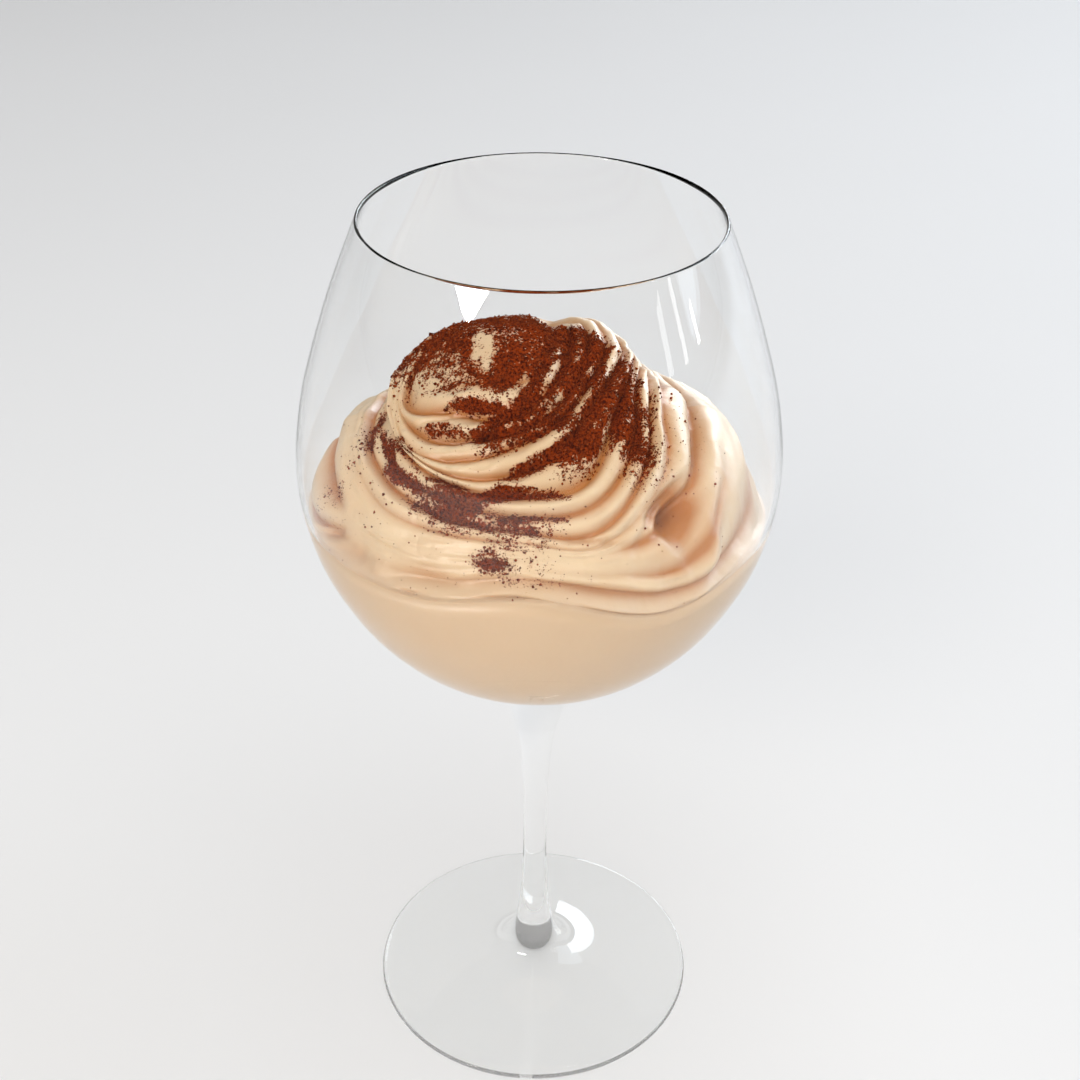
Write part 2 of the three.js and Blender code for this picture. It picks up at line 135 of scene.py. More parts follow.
# How far each band's crest lies above the dome, at the same angles.
CREST_LIFTS = [
    [0.0, 0.0, 0.0, 0.0, 0.0, 0.0, 0.0, 0.0, 0.0, 0.0, 0.0, 0.0],
    [0.0, 0.0, 0.0, 0.4, 0.8, 0.8, 0.2, 0.0, 0.0, 0.0, 0.0, 0.0],
    [0.0, 0.0, 0.0, 0.0, -0.1, 0.0, 0.0, 0.0, 0.0, 0.0, 0.0, 0.0],
    [0.0, 0.0, 0.0, 0.0, 0.0, 0.1, 0.3, 0.1, 0.0, 0.0, 0.0, 0.0],
    [0.0, 0.0, 0.0, 0.0, 0.1, 0.4, 0.6, 0.4, 0.0, 0.0, 0.0, 0.0],
    [0.0, 0.0, 0.0, 0.2, 0.4, 0.7, 1.0, 1.0, 0.0, 0.0, 0.0, -0.8],
    [-1.5, -0.6, -0.2, -0.2, -0.2, -0.7, -1.6, -2.4, -2.1, -1.0, -1.8, -2.1],
    [-1.5, -0.5, -0.4, -1.3, -1.4, -1.6, -2.0, -2.2, -1.8, -0.8, -1.8, -2.6],
    [-0.3, -0.1, 0.0, 0.0, 0.0, 0.2, 0.3, -1.2, -2.2, -0.8, -2.2, -2.6],
    [0.0, 0.0, 0.0, 0.0, 0.1, 0.5, 1.8, 0.2, -4.4, -1.0, -2.6, -2.4],
    [0.9, 1.0, 0.3, 0.0, 0.1, 0.5, 3.4, -3.2, -3.4, -1.0, -1.8, -0.6],
    [0.4, 0.5, 0.4, 0.2, 0.2, 0.5, 1.2, 1.0, -2.4, -0.6, -0.6, 0.0],
    [0.2, 0.0, 0.2, 0.3, 0.2, 0.5, 0.6, 1.2, -0.5, 0.0, 0.0, 0.0],
]

# Single hollows and swellings: x, y, half length along, half width, turn in degrees, height.
DIMPLES = [
    (-11.0, -26.4, 2.2, 1.1, 20, -3.0),
    (-20.0, -24.5, 5.0, 1.4, -28, -0.9),
    (28.8, -32.8, 6.0, 2.3, 50, -7.0),
    (34.2, -32.6, 5.5, 1.7, 68, 2.4),
    (26.6, -38.0, 5.0, 1.4, 4, 1.2),
    (2.0, 9.0, 3.0, 9.0, 0, -2.2),
    (-21.0, 5.0, 10.0, 9.0, 0, 2.6),
    (12.5, 10.0, 5.0, 5.5, 0, 1.6),
]

# Fine cracks where the mousse tore, in the same order.
CRACKS = [
    (-42.3, -23.7, 4.2, 0.6, -50, -2.2),
    (-37.8, -30.8, 6.0, 0.9, -49, -1.4),
    (-21.8, -42.6, 8.0, 0.7, -26, -1.6),
    (-26.4, -42.8, 2.8, 0.5, -27, -1.2),
    (-5.4, -49.5, 7.5, 0.5, -9, -1.8),
    (25.5, -32.5, 6.5, 0.8, 56, -3.0),
    (-17.0, -21.0, 8.0, 0.4, -14, -1.3),
    (10.0, -43.0, 6.0, 0.6, 10, -1.6),
]

BANDS = len(VALLEYS) + 1

# Fine relief. Streaks along the ridges: height, cells in one turn, cells in one band, seed.
RELIEF_STREAKS = [(0.45, 22, 1.1, 5), (0.34, 36, 4.0, 9)]
# Lumps: height, size, seed, layers of noise.
RELIEF_LUMPS = [(0.34, 4.0, 17, 3), (0.12, 1.5, 29, 2)]
EASE_AT_EYE = 1.5  # in how many bands the relief fades out towards the eye
EASE_AT_GLASS = 0.6  # and towards the glass
SHADED_DEPTH = 1.4  # a valley this deep counts as wholly hollow: it gets the full painted shade and holds the most cocoa
SHADED_PIT = 4.0  # a dimple or crack this deep gets the full painted shade

# Cocoa from the sieve, and one film of painted shade: x, y, half length along, half width, turn in
# degrees, amount.
SPRINKLES = [
    (-13.0, 0.0, 20.0, 15.0, -25, 1.50),
    (-3.0, -12.0, 10.0, 9.0, 0, 1.50),
    (10.0, -13.0, 15.0, 13.0, 80, 1.40),
    (-4.0, -25.5, 9.0, 4.0, 18, 1.40),
    (8.0, -28.0, 7.5, 4.5, 50, 1.30),
    (-1.0, -32.6, 8.0, 1.7, 25, 1.10),
    (20.0, -23.0, 8.0, 4.0, 95, 0.70),
    (-13.3, -20.6, 6.0, 1.1, -22, 1.30),
    (-19.3, -22.8, 6.5, 1.3, -27, 1.30),
    (-21.0, -14.2, 4.0, 0.9, -20, 0.80),
    (-11.0, -25.2, 2.5, 1.5, 20, 1.00),
    (-8.0, -26.8, 7.0, 1.4, -8, 0.50),
    (-32.0, -19.0, 8.0, 1.3, -72, 1.30),
    (-35.5, -10.5, 6.0, 1.2, 85, 1.10),
    (-29.0, -27.0, 6.0, 1.5, -48, 1.20),
    (-27.5, -23.0, 7.0, 1.4, -62, 0.70),
    (-20.0, -35.0, 8.0, 3.4, -28, 1.00),
    (-12.5, -39.3, 8.0, 2.8, -10, 0.95),
    (-4.0, -37.3, 10.0, 1.1, -2, 1.20),
    (0.0, -41.4, 7.0, 1.6, 0, 0.90),
    (-9.6, -45.2, 4.0, 1.0, -12, 0.85),
    (-4.0, -44.2, 8.0, 2.0, 0, 0.45),
    (21.0, -26.0, 9.0, 6.0, 75, 0.32),
    (-38.0, -15.0, 9.0, 2.5, 85, 0.32),
    # Painted shade on the left edge: a thin film of cocoa colour, not fallen cocoa.
    (-42.0, -21.0, 7.0, 2.0, -65, 0.25),
    (-1.0, -47.0, 8.0, 1.5, 0, 0.34),
]
# Patches that were brushed bare, in the same order.
BARE_PATCHES = [
    (-11.7, -8.4, 5.4, 2.3, 98, 1.60),
    (-4.3, -18.6, 3.6, 1.3, 50, 1.40),
    (2.0, -16.8, 5.4, 0.8, 65, 1.40),
    (15.1, -8.6, 5.8, 0.9, 75, 1.30),
    (8.5, -20.7, 5.0, 0.8, 59, 1.10),
    (3.3, -21.8, 4.0, 0.7, 46, 0.80),
    (-0.5, -29.7, 8.5, 1.1, 26, 1.30),
    (13.6, -26.3, 5.0, 1.0, 80, 1.20),
    (-5.0, -39.6, 8.0, 0.9, -2, 0.70),
    (-24.0, -17.0, 5.0, 2.4, 60, 0.40),
    (18.0, 5.0, 9.0, 9.0, 0, 1.20),
]
# Where single grains lie on the bare mousse round the dusting, in the same order.
STRAY_GRAINS = [
    (4.0, -28.0, 26.0, 20.0, 0, 0.10),
    (25.0, -20.0, 12.0, 8.0, 80, 0.40),
    (-27.0, -28.0, 16.0, 10.0, -50, 0.16),
    (-8.0, -44.0, 16.0, 4.0, 0, 0.22),
    (-34.0, -12.0, 9.0, 6.0, 80, 0.22),
]
FLAT_TOP = 2  # steepness of the ovals in which cocoa lies
FULL_LAYER = 1.5  # more cocoa than this slides away
LEFT_WHEN_WIPED = 0.40  # share of a layer that brushing leaves
ON_CREST = 0.62  # share of the cocoa that stays on the crest of a ridge
IN_VALLEY = 0.55  # what the bottom of a valley holds on top of that
UNEVEN = 0.25  # how much clouds and streaks change it
COCOA_CLOUDS = (5.0, 71)  # size and seed of the noise
COCOA_STREAKS = (36, 3.0, 83)  # cells in one turn, cells in one band, seed
STREAKS_FROM = (0.5, 2.0)  # the bands in which the streaks set in, away from the eye

GRAIN_SEED = 4127
CLUMPS = {"size": 2.2, "seed": 131, "contrast": 1.5, "evenness": 0.6}
LOOSE_GRAINS = (0.10, 0.65)  # amounts of cocoa between which loose grains become frequent
STRAY_SHARE = 0.10  # stray grains beside those of the dusting
GRAIN_SPREAD = 0.11  # from middle to corner, most grains are up to this much over the finest
CRUMB = 0.34  # and rare crumbs up to this much
GRAIN_SQUEEZE = (0.55, 1.35)  # by which shares a corner is pushed in or drawn out
GRAIN_RISE = 0.35  # how high a grain's middle lies over the mousse, as a share of its size

# ------------------------------------------------------------------ camera, in metres
CAMERA_PLACE = (0.0, -0.32664, 0.33956)
CAMERA_PITCH = 32.128  # degrees below the horizon
CAMERA_YAW = 0.066
CAMERA_ROLL = 0.710
CAMERA_LENS = 56.226  # millimetres, as the sensor's width
CAMERA_SENSOR = 36.0

# ------------------------------------------------------------------ light, in metres
TABLE_HALF = 6.0
BOWL_MIDDLE = (0.0, 0.0, 0.16)
ROOM_TINT = (1.0, 0.955, 0.90, 1.0)  # light from all sides
ROOM_STRENGTH = 0.26
# Soft lights that point at the bowl: place, width and height, watts, tint, and which kinds of
# ray don't see them.
LIGHTS = {
    "ceiling": ((0.5, 0.0, 2.2), (3.0, 3.0), 35.0, (1.0, 0.99, 0.97), ("glossy", "transmission")),
    "key": ((-0.5, -1.45, 0.8), (1.0, 1.0), 20.0, (1.0, 0.92, 0.80), ("glossy", "transmission")),
    "window": ((1.8, 0.5, 1.0), (1.6, 1.4), 18.0, (0.78, 0.89, 1.0), ()),
    "wall": ((0.0, 2.4, 1.4), (5.0, 2.2), 14.0, (1.0, 0.99, 0.98), ("diffuse", "transmission")),
    "sheen": ((1.3, 2.0, 0.9), (2.4, 1.0), 60.0, (0.88, 0.94, 1.0), ("diffuse",)),
}
# Lit window pane that the front of the bowl mirrors at one spot. Its corners lie in its own
# plane, and its turn is in degrees.
PANE = {
    "place": (-0.765, -0.914, 0.556),
    "mirrored_at": (-0.0133, -0.0372, 0.2093),
    "corners": [(-0.37, 0.024), (0.0, -0.020), (0.37, 0.024)],
    "turn": 7.7,
    "strength": 150.0,
}
# Narrow panes that the right of the bowl mirrors: place, width and height.
SIDE_PANES = [
    ((1.125, -0.475, 0.374), (0.07, 0.16)),
    ((1.175, -0.260, 0.350), (0.05, 0.16)),
    ((1.225, -0.050, 0.300), (0.04, 0.08)),
]
SIDE_PANE_MIRRORED_AT = (0.023, -0.035, 0.204)
SIDE_PANE_WATTS = 0.22


# ------------------------------------------------------------------ curves and tables
def smoothstep(start, end, value):
    t = np.clip((value - start) / (end - start), 0.0, 1.0)
    return t * t * (3.0 - 2.0 * t)


def round_table(values, degrees):
    """Smooth value at an angle of a table whose entries are evenly spaced round the circle."""
    values = np.asarray(values, float)
    count = len(values)
    place = np.mod(degrees / 360.0 * count, count)
    i = np.floor(place).astype(int) % count
    t = place - np.floor(place)
    a, b = values[(i - 1) % count], values[i]
    c, d = values[(i + 1) % count], values[(i + 2) % count]
    linear = (c - a) * t
    square = (2 * a - 5 * b + 4 * c - d) * t ** 2
    cube = (3 * b - a - 3 * c + d) * t ** 3
    return 0.5 * (2 * b + linear + square + cube)


def monotone_curve(table):
    """Curve through the stations of a table that never overshoots: gives value and slope."""
    xs = np.array([row[0] for row in table])
    ys = np.array([row[1] for row in table])
    gaps = np.diff(xs)
    slopes = np.diff(ys) / gaps
    tangents = np.zeros(len(xs))
    for i in range(1, len(slopes)):
        before = 2 * gaps[i] + gaps[i - 1]
        after = gaps[i] + 2 * gaps[i - 1]
        if slopes[i - 1] * slopes[i] > 0:
            tangents[i] = (before + after) / (before / slopes[i - 1] + after / slopes[i])
    tangents[-1] = slopes[-1]

    def at(x):
        i = np.clip(np.searchsorted(xs, x, side="right") - 1, 0, len(gaps) - 1)
        t = np.clip((x - xs[i]) / gaps[i], 0.0, 1.0)
        rise = ys[i + 1] - ys[i]
        start = tangents[i] * gaps[i]
        end = tangents[i + 1] * gaps[i]
        bend = 3 * rise - 2 * start - end
        twist = start + end - 2 * rise
        value = ys[i] + start * t + bend * t ** 2 + twist * t ** 3
        slope = (start + 2 * bend * t + 3 * twist * t ** 2) / gaps[i]
        return value, slope

    return at


def smooth_line(points, steps):
    """Catmull-Rom line through the points, with the given number of steps between two."""
    points = np.asarray(points, float)
    ends = np.vstack([2 * points[0] - points[1], points, 2 * points[-1] - points[-2]])
    line = []
    for a, b, c, d in zip(ends, ends[1:], ends[2:], ends[3:]):
        for step in range(steps):
            t = step / steps
            square = (2 * a - 5 * b + 4 * c - d) * t ** 2
            cube = (3 * b - a - 3 * c + d) * t ** 3
            line.append(0.5 * (2 * b + (c - a) * t + square + cube))
    line.append(points[-1])
    return np.array(line)


def offset_line(points, distance):
    """The line shifted to the left of its direction, square to the chord of its neighbours."""
    points = np.asarray(points, float)
    before = np.vstack([points[:1], points[:-1]])
    after = np.vstack([points[1:], points[-1:]])
    along = after - before
    along /= np.linalg.norm(along, axis=1)[:, None]
    side = np.stack([-along[:, 1], along[:, 0]], 1)
    return points + side * np.reshape(distance, (-1, 1))


# ------------------------------------------------------------------ noise
# Large odd numbers that mix the place of a cell and the seed into one number.
CELL_MIXERS = (73856093, 19349663, 83492791)
SEED_MIXER = 2654435761
LAST_MIXER = 1274126177


def lattice_noise(points, size, seed, wrap=0):
    """Smooth noise from -1 to 1 at 3-D points, with cells of the given size.

    wrap is a whole number of cells after which the first coordinate repeats.
    """
    place = np.asarray(points, float) / size
    low = np.floor(place).astype(np.int64)
    t = place - low
    t = t * t * (3 - 2 * t)
    total = np.zeros(len(place))
    for corner in range(8):
        step = np.array([corner & 1, corner >> 1 & 1, corner >> 2 & 1])
        cell = low + step
        if wrap:
            cell[:, 0] %= wrap
        x, y, z = (cell[:, axis] * CELL_MIXERS[axis] for axis in range(3))
        mixed = (x ^ y ^ z ^ seed * SEED_MIXER) & 0x7FFFFFFF
        mixed = (mixed ^ mixed >> 13) * LAST_MIXER & 0x7FFFFFFF
        mixed = (mixed ^ mixed >> 16) & 0xFFFF
        weight = np.prod(np.where(step, t, 1 - t), axis=1)
        total += weight * (mixed / 32767.5 - 1)
    return total


def layered_noise(points, size, seed, layers=3):
    """Noise in layers, each half as large and half as strong as the one before."""
    total = 0
    for layer in range(layers):
        total = total + lattice_noise(points, size / 2 ** layer, seed + layer) / 2 ** layer
    return total / (1 + 1 / 2 + 1 / 4)


# ------------------------------------------------------------------ meshes
def mesh_object(name, points, faces, smooth=True):
    mesh = bpy.data.meshes.new(name)
    mesh.from_pydata([tuple(p) for p in np.asarray(points) * MM], [], faces)
    mesh.validate()
    if smooth:
        mesh.shade_smooth()
    thing = bpy.data.objects.new(name, mesh)
    bpy.context.scene.collection.objects.link(thing)
    return thing


def closed_grid(rows, columns):
    """Faces of a closed skin: one top point, rows of columns, one bottom point."""
    faces = []
    last = 1 + rows * columns
    for c in range(columns):
        after = (c + 1) % columns
        faces.append((0, 1 + after, 1 + c))
    for r in range(rows - 1):
        start = 1 + r * columns
        for c in range(columns):
            after = (c + 1) % columns
            faces.append((start + c, start + after, start + columns + after, start + columns + c))
    start = 1 + (rows - 1) * columns
    for c in range(columns):
        faces.append((start + c, start + (c + 1) % columns, last))
    return faces


def wear(thing, material, slot, *nodes):
    """The piece gets its material, moves with the part and stands for the nodes. The slot is not
    used.
    """
    thing.data.materials.append(material)
    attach(thing, ROOT)
    if nodes:
        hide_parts(*nodes)


# ------------------------------------------------------------------ glass
def bowl_inside(steps):
    stations = np.array(BOWL)
    inner = offset_line(stations[:, :2], stations[:, 2])
    return smooth_line(np.vstack([BOWL_FLOOR, inner]), steps)


def flat_to_end(line, gap=0.02):
    """One more point next to the last one, so that the wall shades flat up to the rim."""
    return np.insert(line, -1, line[-1] * (1 - gap) + line[-2] * gap, axis=0)


def glass_outline():
    bowl = [station[:2] for station in BOWL]
    outside = flat_to_end(smooth_line(FOOT_EDGE + STEM[1:] + bowl[1:], GLASS_STEPS))
    inside = flat_to_end(bowl_inside(GLASS_STEPS))[::-1]
    middle = (outside[-1] + inside[0]) / 2
    half = (outside[-1][0] - inside[0][0]) / 2
    rise = RIM_HEIGHT - middle[1]
    rim = []
    for angle in np.radians([30, 60, 90, 120, 150]):
        rim.append((middle[0] + half * math.cos(angle), middle[1] + rise * math.sin(angle)))
    return np.vstack([outside, rim, inside])


def build_glass(settings):
    """Foot, stem and bowl as one closed skin."""
    columns = settings.columns
    outline = glass_outline()
    turns = np.arange(columns) * 2 * math.pi / columns
    rings = outline[:-1]
    xs = rings[:, :1] * np.cos(turns)
    ys = rings[:, :1] * np.sin(turns)
    zs = np.repeat(rings[:, 1:], columns, 1)
    ring_points = np.stack([xs, ys, zs], -1).reshape(-1, 3)
    foot = [0.0, 0.0, 0.0]
    floor = [0.0, 0.0, outline[-1][1]]
    points = np.vstack([[foot], ring_points, [floor]])
    return mesh_object("glass_bowl_stem_foot", points, closed_grid(len(rings), columns))


# ------------------------------------------------------------------ swirl
DOME_AT = monotone_curve(DOME)


def plain_surface(x, y):
    """Height of the dome without ridges, and its slope away from the glass's axis."""
    radius = np.hypot(x, y)
    height, slope = DOME_AT(np.minimum(radius, CONTACT_RADIUS))
    drop = BACK_DROP * (1 - np.exp(-np.maximum(y - BACK_START, 0) / BACK_SPREAD))
    across = (x - SUMMIT["x"]) / SUMMIT["spread_x"]
    along = (y - SUMMIT["y"]) / SUMMIT["spread_y"]
    rise = SUMMIT["rise"] * np.exp(-0.5 * (across ** 2 + along ** 2))
    contact = round_table(CONTACT_HEIGHTS, -np.degrees(np.arctan2(y, x)))
    edge = smoothstep(EDGE_START, CONTACT_RADIUS, radius)
    return (height - drop + rise) * (1 - edge) + contact * edge, np.maximum(slope, STEEPEST)


def mounds(table, x, y, steepness=1):
    """Sum of the oval mounds of a table, soft ones or, if steeper, with a flat top."""
    height = 0
    for centre_x, centre_y, length, width, turn, amount in table:
        cos, sin = math.cos(math.radians(turn)), math.sin(math.radians(turn))
        u = ((x - centre_x) * cos + (y - centre_y) * sin) / length
        v = ((y - centre_y) * cos - (x - centre_x) * sin) / width
        height = height + amount * np.exp(-(u ** 2 + v ** 2) ** steepness)
    return height


def valley_radii(degrees, reach):
    """Distance from the eye of every valley, and how deep it is, at each angle."""
    radii = [np.zeros_like(degrees)]
    depths = [np.zeros_like(degrees)]
    for distances, hollows in VALLEYS:
        radii.append(np.maximum(round_table(distances, degrees), radii[-1] + MIN_BAND))
        depths.append(np.maximum(round_table(hollows, degrees), 0))
    radii.append(np.maximum(reach, radii[-1] + MIN_BAND))
    depths.append(round_table(CONTACT_DEPTHS, degrees))
    return np.array(radii), np.array(depths)


def swirl_rows(columns, steps):
    """The swirl's surface before it is bent over the dome.

    Gives arrays of rows by columns: distance from the eye, height over the dome, how deep in a
    valley the place is from 0 to 1, and the band number.
    """
    degrees = np.arange(columns) * 360.0 / columns
    angles = -np.radians(degrees)
    along = EYE[0] * np.cos(angles) + EYE[1] * np.sin(angles)
    reach = -along + np.sqrt(along ** 2 - (EYE[0] ** 2 + EYE[1] ** 2 - CONTACT_RADIUS ** 2))
    radii, depths = valley_radii(degrees, reach)
    lifts = np.array([round_table(table, degrees) for table in CREST_LIFTS])
    out, height, hollow, number = [], [], [], []
    for band in range(BANDS):
        width = radii[band + 1] - radii[band]
        for step in range(steps):
            t = step / steps
            near = band if t < 0.5 else band + 1
            side = abs(2 * t - 1)
            joint = 0.5 * (lifts[max(near - 1, 0)] + lifts[min(near, BANDS - 1)])
            to_valley = float(smoothstep(0, 1, side))
            deepest = np.minimum(depths[near], DEPTH_OF_WIDTH * width + DEPTH_OF_NARROWEST)
            out.append(radii[band] + width * t)
            crest = lifts[band] * (1 - to_valley) + joint * to_valley
            height.append(crest - deepest * side ** VALLEY_SHAPE)
            hollow.append(np.clip(deepest, 0, SHADED_DEPTH) / SHADED_DEPTH * side ** VALLEY_SHAPE)
            number.append(np.full(columns, band + t))
    out.append(radii[-1])
    height.append(lifts[-1] - depths[-1])
    hollow.append(np.clip(depths[-1], 0, SHADED_DEPTH) / SHADED_DEPTH)
    number.append(np.full(columns, float(BANDS)))
    return degrees, np.array(out), np.array(height), np.array(hollow), np.array(number)


def streaks(degrees, number, cells, across, seed):
    """Noise drawn out along the ridges: cells of it in one turn, across of it in one band."""
    turn = np.broadcast_to(degrees / 360 * cells, number.shape)
    places = np.stack([turn, number * across, np.zeros_like(number)], -1).reshape(-1, 3)
    return lattice_noise(places, 1.0, seed, wrap=cells).reshape(number.shape)


def cocoa_at(x, y, hollow, degrees, number):
    """How much cocoa lies at each place: below 0.3 next to none, from 0.8 on a closed layer."""
    fallen = np.minimum(mounds(SPRINKLES, x, y, FLAT_TOP), FULL_LAYER)
    wiped = fallen - mounds(BARE_PATCHES, x, y, FLAT_TOP)
    left = np.maximum(wiped, LEFT_WHEN_WIPED * np.minimum(fallen, 1))
    places = np.stack([x, y, number], -1).reshape(-1, 3)
    clouds = layered_noise(places, *COCOA_CLOUDS).reshape(x.shape)
    drawn = streaks(degrees, number, *COCOA_STREAKS) * smoothstep(*STREAKS_FROM, number)
    return left * (ON_CREST + IN_VALLEY * hollow + UNEVEN * clouds + UNEVEN * drawn)


def fine_relief(x, y, degrees, number):
    """Small unevenness of the piped ridges, which fades out at the eye and at the glass."""
    rough = 0
    for amount, cells, across, seed in RELIEF_STREAKS:
        rough = rough + amount * streaks(degrees, number, cells, across, seed)
    places = np.stack([x, y, number], -1).reshape(-1, 3)
    for amount, size, seed, layers in RELIEF_LUMPS:
        rough = rough + amount * layered_noise(places, size, seed, layers).reshape(x.shape)
    from_eye = smoothstep(0, EASE_AT_EYE, number)
    from_glass = 1 - smoothstep(BANDS - EASE_AT_GLASS, BANDS, number)
    return rough * (from_eye * from_glass)


def swirl_surface(columns, steps, relief):
    """Points of the swirl's surface, rows by columns, with the cocoa and the hollow of each."""
    degrees, out, height, hollow, number = swirl_rows(columns, steps)
    angles = -np.radians(degrees)
    x = EYE[0] + out * np.cos(angles)
    y = EYE[1] + out * np.sin(angles)
    radius = np.maximum(np.hypot(x, y), 1e-6)
    plain, slope = plain_surface(x, y)
    upright = 1 / np.hypot(1, slope)
    hollows = mounds(DIMPLES, x, y) + mounds(CRACKS, x, y)
    rough = relief * fine_relief(x, y, degrees, number)
    lift = height + hollows + CREST_OFFSET + rough
    z = plain + upright * lift
    wall = mousse_wall()
    outward = np.minimum(radius - slope * upright * lift, np.interp(z, wall[:, 1], wall[:, 0]))
    points = np.stack([x / radius * outward, y / radius * outward, z], -1)
    pits = np.clip(-hollows / SHADED_PIT, 0, 1)
    return points, cocoa_at(x, y, hollow, degrees, number), np.maximum(hollow, pits)


def mousse_wall():
    """Outline of the filling where it lies against the glass: it reaches just into it."""
    wall = offset_line(bowl_inside(GLASS_STEPS), -INTO_WALL)
    wall[0, 0] = 0
    return wall


def octahedron():
    corners = np.array([(1, 0, 0), (0, 1, 0), (-1, 0, 0), (0, -1, 0), (0, 0, 1), (0, 0, -1)], float)
    faces = []
    for i in range(4):
        faces.append((i, (i + 1) % 4, 4))
        faces.append(((i + 1) % 4, i, 5))
    return corners, np.array(faces)


def random_turns(rng, count):
    """Rotation matrices spread evenly over all directions."""
    w, x, y, z = rng.normal(size=(4, count)) + 1e-9
    size = np.sqrt(w * w + x * x + y * y + z * z)
    w, x, y, z = w / size, x / size, y / size, z / size
    rows = [
        [1 - 2 * (y * y + z * z), 2 * (x * y - z * w), 2 * (x * z + y * w)],
        [2 * (x * y + z * w), 1 - 2 * (x * x + z * z), 2 * (y * z - x * w)],
        [2 * (x * z - y * w), 2 * (y * z + x * w), 1 - 2 * (x * x + y * y)],
    ]
    return np.moveaxis(np.array(rows), 2, 0)


def grain_places(settings, relief, rng):
    """Where the grains lie, thick round the edges of the dusting and rare far from it.

    Gives a point on the swirl and the upward normal there for every grain.
    """
    top, cocoa, _ = swirl_surface(settings.columns, settings.steps, relief)
    first = 2 * settings.steps // 3  # the faces inside this row are too narrow
    top, cocoa = top[first:], cocoa[first:]
    ahead = np.roll(top, -1, axis=1)
    a, b, c, d = top[:-1], ahead[:-1], ahead[1:], top[1:]
    square = np.cross(b - d, c - a)
    area = np.linalg.norm(square, axis=-1)
    level = cocoa[:-1]
    clouds = layered_noise(a.reshape(-1, 3), CLUMPS["size"], CLUMPS["seed"]).reshape(level.shape)
    clumps = np.clip(clouds * CLUMPS["contrast"] + CLUMPS["evenness"], 0, 2)
    stray = mounds(STRAY_GRAINS, a[..., 0], a[..., 1]) * STRAY_SHARE
    share = (smoothstep(*LOOSE_GRAINS, level) * clumps + stray) * area
    share = share.ravel() / share.sum()
    cell = rng.choice(share.size, size=settings.count, p=share)
    u, v = rng.random((2, settings.count, 1))
    corner = [side.reshape(-1, 3)[cell] for side in (a, b, c, d)]
    low = corner[0] * (1 - u) + corner[1] * u
    high = corner[3] * (1 - u) + corner[2] * u
    normal = square.reshape(-1, 3)[cell]
    normal /= np.maximum(np.linalg.norm(normal, axis=1), 1e-9)[:, None]
    normal *= np.where(normal[:, 2:] < 0, -1, 1)
    return low * (1 - v) + high * v, normal


def build_grains(settings, relief):
    """Cocoa grains at true size: eight-sided crumbs, each squeezed and turned its own way."""
    rng = np.random.default_rng(GRAIN_SEED)
    count = settings.count
    place, normal = grain_places(settings, relief, rng)
    finest = settings.width / 2 / MM
    size = finest + GRAIN_SPREAD * rng.random(count) ** 2 + CRUMB * rng.random(count) ** 10
    corners, faces = octahedron()
    shape = corners[None] * rng.uniform(*GRAIN_SQUEEZE, (count, len(corners), 1))
    shape = np.einsum("nij,nkj->nki", random_turns(rng, count), shape) * size[:, None, None]
    points = place[:, None] + normal[:, None] * (GRAIN_RISE * size)[:, None, None] + shape
    starts = np.arange(count)[:, None, None] * len(corners)
    triangles = (faces[None] + starts).reshape(-1, 3)
    return mesh_object("cocoa_grains", points.reshape(-1, 3), triangles.tolist(), smooth=False)


def build_mousse(settings):
    """Swirl, then the side down the inside of the glass, with what the material needs to know."""
    columns, steps, side_rows = settings.columns, settings.steps, settings.side_rows
    top, cocoa, hollow = swirl_surface(columns, steps, settings.relief)
    wall = mousse_wall()
    lowest = top[-1]
    turned = np.arctan2(lowest[:, 1], lowest[:, 0])
    sides = []
    for row in range(side_rows):
        t = row / side_rows
        level = lowest[:, 2] + (wall[0, 1] - lowest[:, 2]) * (1 - (1 - t) ** SIDE_CROWDING)
        reach = np.interp(level, wall[:, 1], wall[:, 0])
        sides.append(np.stack([reach * np.cos(turned), reach * np.sin(turned), level], -1))
    rows = np.concatenate([top[1:], np.array(sides)])
    points = np.vstack([[top[0].mean(0)], rows.reshape(-1, 3), [[0, 0, wall[0, 1]]]])
    thing = mesh_object("mousse_swirl", points, closed_grid(len(rows), columns))
    rows_inside = np.arange(1 - len(top), 1)[:, None]
    pressed = smoothstep(-PRESSED_BANDS * steps, 0, rows_inside) * np.ones(columns)
    add_layer(thing, "cocoa", cocoa, 0)
    # The hollow layer only sets the painted shade of the valleys, dimples and cracks.
    add_layer(thing, "hollow", hollow, 0)
    add_layer(thing, "pressed", pressed, 1)
    return thing


def add_layer(thing, name, table, below):
    """Number at every point: the table's on the swirl, and one number on the side below it."""
    values = np.full(len(thing.data.vertices), float(below))
    values[0] = table[0].mean()
    values[1:1 + table[1:].size] = table[1:].ravel()
    layer = thing.data.attributes.new(name, "FLOAT", "POINT")
    layer.data.foreach_set("value", values.astype(np.float32))


# ------------------------------------------------------------------ shader graphs
class Wire:
    """A value in a material's nodes. Python arithmetic on it adds Math nodes."""

    def __init__(self, graph, socket):
        self.graph = graph
        self.socket = socket

    def _math(self, operation, first, second, clamp=False):
        settings = {"operation": operation, "use_clamp": clamp}
        return self.graph.add("ShaderNodeMath", settings, {0: first, 1: second})

    def __add__(self, other):
        return self._math("ADD", self, other)

    def __radd__(self, other):
        return self._math("ADD", other, self)

    def __sub__(self, other):
        return self._math("SUBTRACT", self, other)

    def __rsub__(self, other):
        return self._math("SUBTRACT", other, self)

    def __mul__(self, other):
        return self._math("MULTIPLY", self, other)

    def __rmul__(self, other):
        return self._math("MULTIPLY", other, self)

    def clamped(self):
        return self._math("ADD", self, 0.0, clamp=True)

    def larger(self, other):
        return self._math("MAXIMUM", self, other)


